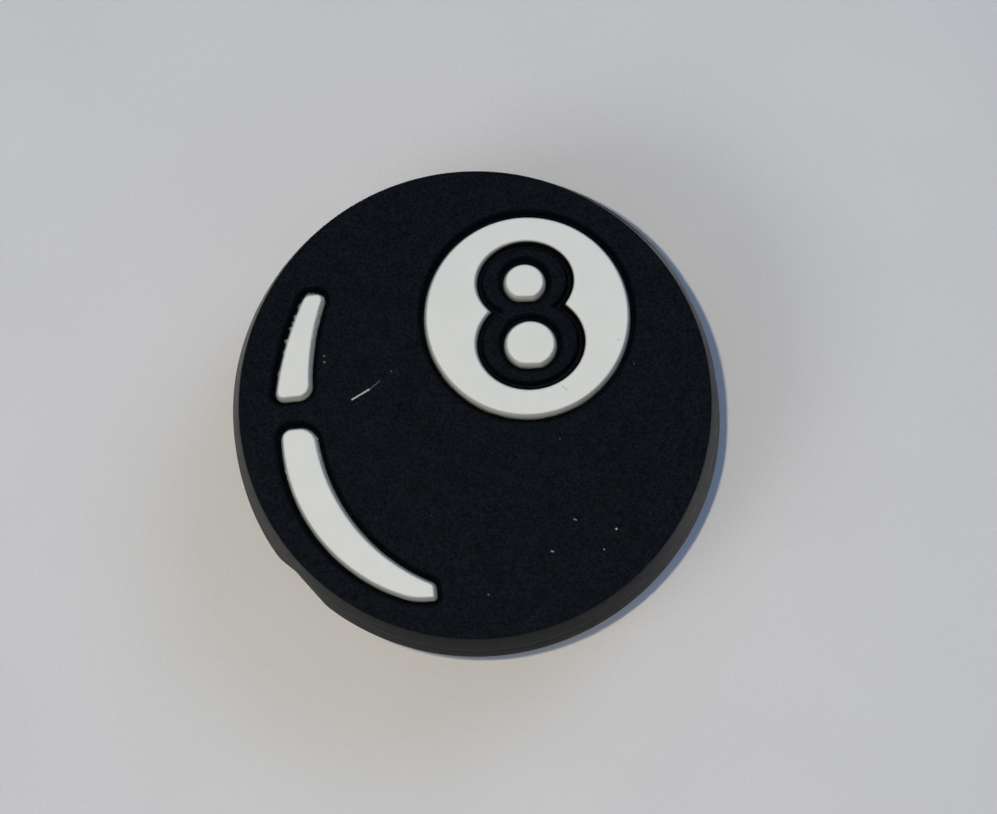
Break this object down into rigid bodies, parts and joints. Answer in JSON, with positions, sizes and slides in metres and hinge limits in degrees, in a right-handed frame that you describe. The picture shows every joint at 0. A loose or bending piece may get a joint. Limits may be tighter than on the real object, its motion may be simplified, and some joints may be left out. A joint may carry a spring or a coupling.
{
  "type": "eight-ball shoe charm",
  "caption": "Flat round clip-on shoe charm with a cartoon eight ball moulded in its face, on a neck with a round snap-in button behind.",
  "frame": {"origin": "centre of the stud button's underside, on the axis that the disc and the stud share", "axes": "+Z out of the face, +Y towards the top of the upright 8, +X to its right"},
  "size_m": [0.0284, 0.0284, 0.0102],
  "materials": {
    "black_soft_plastic": "matte, fine moulded grain",
    "white_soft_plastic": "matte to satin, smooth",
    "black_back_plastic": "satin, poured back",
    "black_stud_plastic": "satin, injection moulded"
  },
  "bodies": {
    "root": {"black_body": "black_soft_plastic", "number_roundel": "white_soft_plastic", "digit_eight": "black_soft_plastic", "upper_counter": "white_soft_plastic", "lower_counter": "white_soft_plastic", "upper_highlight": "white_soft_plastic", "lower_highlight": "white_soft_plastic", "backing_layer": "black_back_plastic", "shoe_stud": "black_stud_plastic"}
  },
  "joints": []
}
